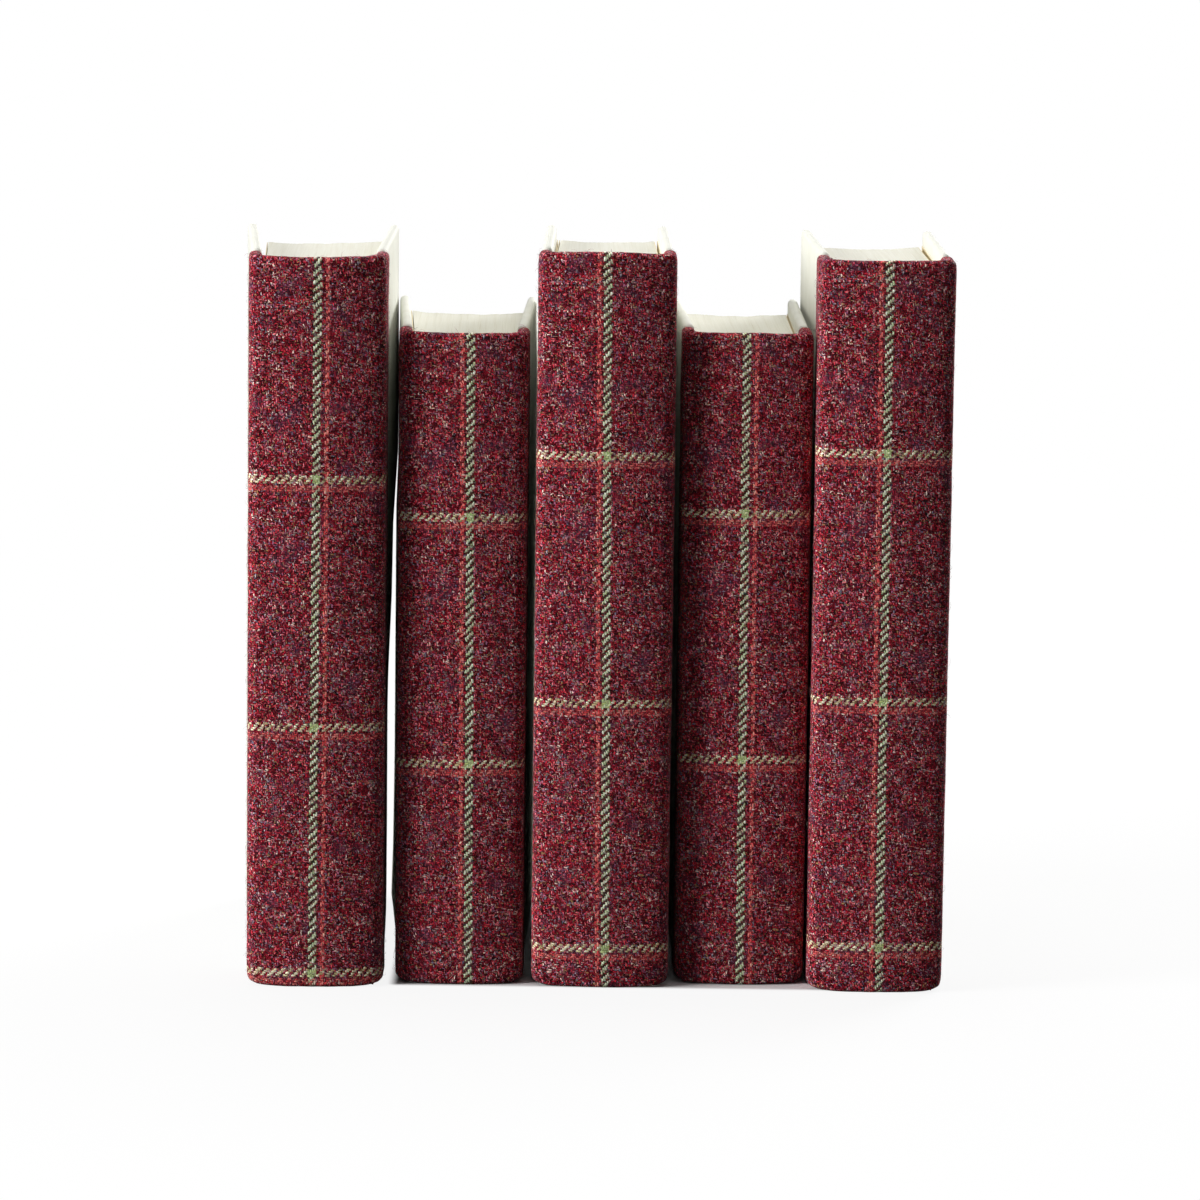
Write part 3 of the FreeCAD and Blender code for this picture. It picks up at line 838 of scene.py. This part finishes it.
def rounded_block(low, high, radii, steps):
    """A block with rounded edges between two corners: its points and quads."""
    axes = [spread(low[a], high[a], radii[a], steps[a]) for a in range(3)]
    indices, faces = lattice(axes)
    points = np.stack([axes[a][indices[:, a]] for a in range(3)], axis=1)
    radii = np.array(radii)
    core = np.clip(points, np.array(low) + radii, np.array(high) - radii)
    offset = (points - core) / radii
    length = np.linalg.norm(offset, axis=1, keepdims=True)
    reach = np.abs(offset).max(axis=1, keepdims=True)
    rounded = core + offset / np.maximum(length, 1e-9) * reach * radii
    return rounded, faces


def on_cover(book, side, points):
    """Moves points given as depth below the cloth's face, y and z to the side of a cover."""
    depth, y, z = points.T
    x = book.cover_x(side, depth, y) + book.bulge(side, y, z)
    return np.stack([x * sign_of(side), y, z], axis=1)


def outward_faces(faces, side):
    """Depth runs inward on the right side, which turns the quads over."""
    return [face[::-1] for face in faces] if side == "right" else faces


def make_siding(book, side, finish):
    """Ivory covering turned over a board's three free edges, with soft edges and corners."""
    low = (CLOTH - EDGE, LAP, 0.0)
    high = (CLOTH + BOARD + EDGE, book.depth, book.height)
    points, faces = rounded_block(low, high, (1.55, 1.7, 1.7), (1.2, 5.0, 5.0))
    near_edge = np.minimum(np.minimum(points[:, 2], book.height - points[:, 2]),
                           book.depth - points[:, 1])
    seed = book.number * 2 + (side == "left")
    sway = wave(points, 45.0, seed) * 0.12 + wave(points, 9.0, seed) * 0.05
    points[:, 0] += sway * np.clip(near_edge / 8, 0.35, 1)
    turned = (points[:, 0] > 3.0) & (near_edge > TURN_IN)
    points[:, 0] -= turned * 0.12
    at_ends = np.abs(points[:, 2] - book.height / 2) > book.height / 2 - 3
    points[:, 2] += wave(points, 12.0, seed + 30) * 0.10 * at_ends
    points[:, 2] = np.maximum(points[:, 2], 0.0)
    square = points[:, 1] < LAP + 1.7
    points[square, 0] = np.clip(points[square, 0], low[0], high[0])
    vertices = book.placed(on_cover(book, side, points))
    marks = {"grain": points * MM}
    name = f"{book.name}_{side}_siding"
    piece = new_piece(f"{name}_paper", vertices, outward_faces(faces, side), finish,
                      marks)
    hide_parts(name)
    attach(piece, book.body(side))


def make_board(book, side, finish):
    """The millboard inside a cover, with its edges pressed a little round."""
    low = (CLOTH + 0.05, book.board_start + 0.3, EDGE + 0.5)
    high = (CLOTH + BOARD - 0.05, book.depth - EDGE - 0.5, book.height - EDGE - 0.9)
    points, faces = rounded_block(low, high, (0.9, 0.9, 0.9), (1.0, 12.0, 12.0))
    vertices = book.placed(on_cover(book, side, points))
    name = f"{book.name}_{side}_board"
    piece = new_piece(f"{name}_core", vertices, outward_faces(faces, side), finish, {})
    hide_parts(name)
    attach(piece, book.body(side))


def make_spine_card(book, finish):
    """The card in the spine, bowed as the cloth is."""
    edge_x = book.half - SOFT_CORNER - 0.5
    low = (-edge_x, CLOTH, EDGE + 1.2)
    high = (edge_x, CLOTH + CARD, book.height - EDGE - 1.6)
    points, faces = rounded_block(low, high, (0.7, 0.7, 0.7), (2.0, 0.5, 12.0))
    points[:, 1] = bowed(CLOTH_BOW, points[:, 1], points[:, 0])
    name = f"{book.name}_spine_card"
    piece = new_piece(f"{name}_bowed", book.placed(points), faces, finish, {})
    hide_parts(name)
    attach(piece, "root")


def make_pages(book, finish):
    """The block of leaves: rounded back, hollow fore-edge, and leaf edges that stand a little
    above or below each other at the head, tail and fore-edge."""
    inward = CLOTH + BOARD + EDGE + LEAF + LEAF_GAP + LEAF
    across = np.linspace(-1, 1, 75)
    along = np.linspace(0, 1, 26)
    up = np.linspace(0, 1, 44)
    indices, faces = lattice([across, along, up])
    a = across[indices[:, 0]]
    b = along[indices[:, 1]]
    c = up[indices[:, 2]]
    back_half = book.half - inward - BLOCK_SHOULDER
    back = bowed(SPINE_RADIUS, BLOCK_BACK, a * back_half) + BLOCK_SHOULDER * np.abs(a) ** 8
    lean = (book.reach["right"] - book.reach["left"]) / 2
    fore = (book.reach["right"] + book.reach["left"]) / 2 + lean * a
    fore = fore - FORE_EDGE_DIP * (1 - a ** 2)
    y = back + (fore - back) * b
    edge_x = book.page_x(inward, y)
    shoulder = BLOCK_SHOULDER * np.clip(1 - (y - back) / 2.0, 0, 1) ** 2
    x = a * (edge_x - shoulder)
    generator = np.random.default_rng(book.number)
    leaf = generator.uniform(-1, 1, len(across)) * 0.035
    gathering = -0.07 * (generator.random(len(across)) < 0.12)
    uneven = generator.uniform(-0.15, 0.15, 9)
    step = leaf + gathering + np.interp(across, np.linspace(-1, 1, 9), uneven)
    step = step[indices[:, 0]]
    drift = wave(np.stack([a * 4, y * 0.1, c * 20], axis=1), 1.0, book.number + 60) * 0.10
    z = SQUARE + (book.height - 2 * SQUARE) * c
    for side in ("left", "right"):
        beside = np.clip(a * sign_of(side), 0, 1) * sign_of(side)
        x = x + beside * book.bulge(side, y, z)
    z = z + np.where(c == 1, step + drift, 0) - np.where(c == 0, step + drift, 0)
    z = z - np.where(c == 1, 0.25 * (1 - a ** 2), 0)
    y = y + np.where(b == 1, step * 1.6 + drift, 0)
    points = np.stack([x, y, z], axis=1)
    name = f"{book.name}_pages"
    piece = new_piece(f"{name}_leaves", book.placed(points), faces, finish,
                      {"grain": points * MM}, 35.0)
    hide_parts(name)
    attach(piece, "root")


def make_endpaper(book, side, finish):
    """One folded sheet: a leaf pasted to the board and a free leaf against the pages."""
    pasted = CLOTH + BOARD + EDGE
    free = pasted + LEAF + LEAF_GAP
    fold_y = book.hinge_y + FOLD_RISE
    free_y = np.linspace(book.reach[side] - 1.0, fold_y, 30)
    pasted_y = np.linspace(fold_y, book.depth - PASTE_MARGIN, 34)
    free_side = np.stack([book.page_x(free, free_y), free_y], axis=1)
    pasted_side = np.stack([book.cover_x(side, pasted + LEAF, pasted_y), pasted_y], axis=1)
    first = free_side[-1]
    last = pasted_side[0]
    turns = np.linspace(0, math.pi, 14)[1:-1]
    middle = (first + last) / 2
    reach = (last[0] - first[0]) / 2
    fold = np.stack([middle[0] - reach * np.cos(turns), middle[1] - reach * 1.5 * np.sin(turns)],
                    axis=1)
    line = np.concatenate([free_side, fold, pasted_side])
    heights = np.linspace(SQUARE, book.height - SQUARE, 24)
    grid = np.zeros((len(heights), len(line), 3))
    grid[..., 0] = line[None, :, 0]
    grid[..., 1] = line[None, :, 1]
    grid[..., 2] = heights[:, None]
    slack = wave(grid.reshape(-1, 3), 38.0, book.number + 70).reshape(grid.shape[:2])
    grid[:, :24, 0] += np.minimum(slack[:, :24], 0.0) * 0.05
    grid[..., 0] += book.bulge(side, grid[..., 1], grid[..., 2])
    if side == "left":
        grid[..., 0] *= -1
        grid = grid[:, ::-1]
    inward = 1.0 if side == "left" else -1.0
    vertices, faces = thick_sheet(grid, np.full(grid.shape[:2], LEAF * inward))
    if inward < 0:
        faces = [face[::-1] for face in faces]
    name = f"{book.name}_{side}"
    piece = new_piece(f"{name}_folded_leaf", book.placed(vertices), faces, finish, {})
    body = book.body(side)
    if body == "root":
        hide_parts(f"{name}_endpaper")
        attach(piece, "root")
        return
    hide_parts(f"{name}_pastedown", f"{name}_flyleaf")
    slant = math.atan((book.slopes[side] + book.wedge_slope) / 2)
    outward = Vector((math.cos(slant) * sign_of(side), -math.sin(slant), 0.0))
    start = Vector((book.page_x(free, fold_y) * sign_of(side), fold_y, 0.0))
    width = (last[0] - first[0]) * math.cos(slant)
    book.matrix @ ((start + outward * width) * MM)
    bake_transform(piece)


def refinish(node, finish):
    """Gives a piece of the frame a finish, and leaves its shape as it is."""
    item = frame["nodes"][node]
    if not item.material_slots:
        item.data.materials.append(finish)
    for slot in item.material_slots:
        slot.material = finish


def make_floor():
    """A pale floor that keeps the row's shadow, and is white away from it. It sends less light
    back up than a white one would, so that the spines keep their dark side."""
    finish = Finish("pale_floor")
    place = finish.node("TexCoord", {}, {}, output="Object")
    seen = finish.seen()
    speck = finish.noise(place, 900.0, 2.0)
    pale = finish.ramp(speck, [(0.3, (0.86, 0.86, 0.86)), (0.7, (0.89, 0.89, 0.89))])
    finish.set(base_color=finish.mix(seen, (0.10, 0.10, 0.10), pale), roughness=0.9,
               specular_ior_level=0.1)
    x, y = finish.parts(place)[:2]
    middle = (SHADE_LEFT + SHADE_RIGHT) / 2
    beside = ((x - middle).absolute() - (SHADE_RIGHT - middle)).positive()
    before = (-SHADE_FRONT - y).positive() + (y - SHADE_BACK).positive() * SHADE_FADE
    distance = (beside.square() + before.square()).root()
    whiteness = 0.0
    for reach, share in ((0.004, 0.88), (0.30, 0.12)):
        whiteness = whiteness + finish.node(
            "MapRange", {"interpolation_type": "SMOOTHSTEP"},
            {"Value": distance, "From Min": 0.0, "From Max": reach, "To Min": 0.0, "To Max": share})
    white = finish.node("Emission", {}, {"Color": WHITE, "Strength": 1.0})
    shade = Wire(finish, finish.shader.outputs[0])
    mixed = finish.node("MixShader", {}, {0: seen * whiteness, 1: shade, 2: white})
    finish.feed(finish.nodes["Material Output"].inputs["Surface"], mixed)
    mesh = bpy.data.meshes.new("floor")
    corners = [(x * FLOOR_REACH, y * FLOOR_REACH, 0.0)
               for x, y in ((-1, -1), (1, -1), (1, 1), (-1, 1))]
    mesh.from_pydata(corners, [], [(0, 1, 2, 3)])
    mesh.materials.append(finish.material)
    floor = bpy.data.objects.new("floor", mesh)
    bpy.context.scene.collection.objects.link(floor)


def make_world():
    """White where the camera looks past the floor, and an even soft light elsewhere."""
    world = bpy.data.worlds.new("studio")
    bpy.context.scene.world = world
    world.use_nodes = True
    recipe = Recipe(world.node_tree)
    recipe.nodes.clear()
    soft = recipe.node("Background", {}, {"Color": WHITE, "Strength": AMBIENT})
    white = recipe.node("Background", {}, {"Color": WHITE, "Strength": 1.0})
    mixed = recipe.node("MixShader", {}, {0: recipe.seen(), 1: soft, 2: white})
    output = recipe.nodes.new("ShaderNodeOutputWorld")
    recipe.feed(output.inputs["Surface"], mixed)


def make_lamp(name, location, target, size, power):
    data = bpy.data.lights.new(name, "AREA")
    data.shape = "DISK"
    data.size = size
    data.energy = power
    lamp = bpy.data.objects.new(name, data)
    lamp.location = location
    aim = Vector(target) - Vector(location)
    lamp.rotation_mode = "QUATERNION"
    lamp.rotation_quaternion = aim.to_track_quat("-Z", "Y")
    bpy.context.scene.collection.objects.link(lamp)


def make_camera():
    """The photograph's own view: a long lens, a little above the books and looking down."""
    data = bpy.data.cameras.new("camera")
    data.sensor_width = 36.0
    data.lens = FOCAL_PIXELS / FRAME_PIXELS * data.sensor_width
    data.clip_start = 0.05
    data.clip_end = 100.0
    camera = bpy.data.objects.new("camera", data)
    bpy.context.scene.collection.objects.link(camera)
    tilt = Matrix.Rotation(math.radians(CAMERA_TILT), 4, "X")
    turn = Matrix.Rotation(math.radians(CAMERA_TURN), 4, "Z")
    camera.matrix_world = Matrix.Translation(CAMERA_PLACE) @ tilt @ turn
    bpy.context.scene.camera = camera


random.seed(11)
make_camera()
make_world()
make_lamp("window", (-2.3, -0.82, 0.95), (0.0, 0.0, 0.12), 1.1, 68.0)
make_lamp("reflector", (1.4, 2.1, 1.0), (0.0, 0.0, 0.12), 1.4, 60.0)
make_lamp("ceiling", (0.0, 0.4, 2.4), (0.0, 0.0, 0.1), 1.6, 25.0)
make_floor()

tweed = tweed_finish()
wool = wool_finish()
ivory = ivory_finish()
page_edges = page_finish()
endpaper = paper_finish("endpaper", (0.76, 0.63, 0.38), (0.84, 0.75, 0.53), 900.0)
millboard = paper_finish("millboard", (0.34, 0.30, 0.24), (0.52, 0.47, 0.38), 700.0)
spine_card = paper_finish("spine_card", (0.46, 0.39, 0.28), (0.60, 0.53, 0.42), 800.0)
gauze = paper_finish("spine_lining", (0.70, 0.66, 0.56), (0.84, 0.81, 0.73), 1400.0)

books = [Book(number, sizes) for number, sizes in enumerate(BOOKS, 1)]
for book in books:
    grid, normals = make_cloth(book, tweed)
    make_wool(book, grid, normals, wool)
    make_spine_card(book, spine_card)
    make_pages(book, page_edges)
    refinish(f"{book.name}_spine_lining", gauze)
    for side in ("left", "right"):
        make_board(book, side, millboard)
        make_siding(book, side, ivory)
        make_endpaper(book, side, endpaper)

scene = bpy.context.scene
scene.view_settings.view_transform = "Standard"
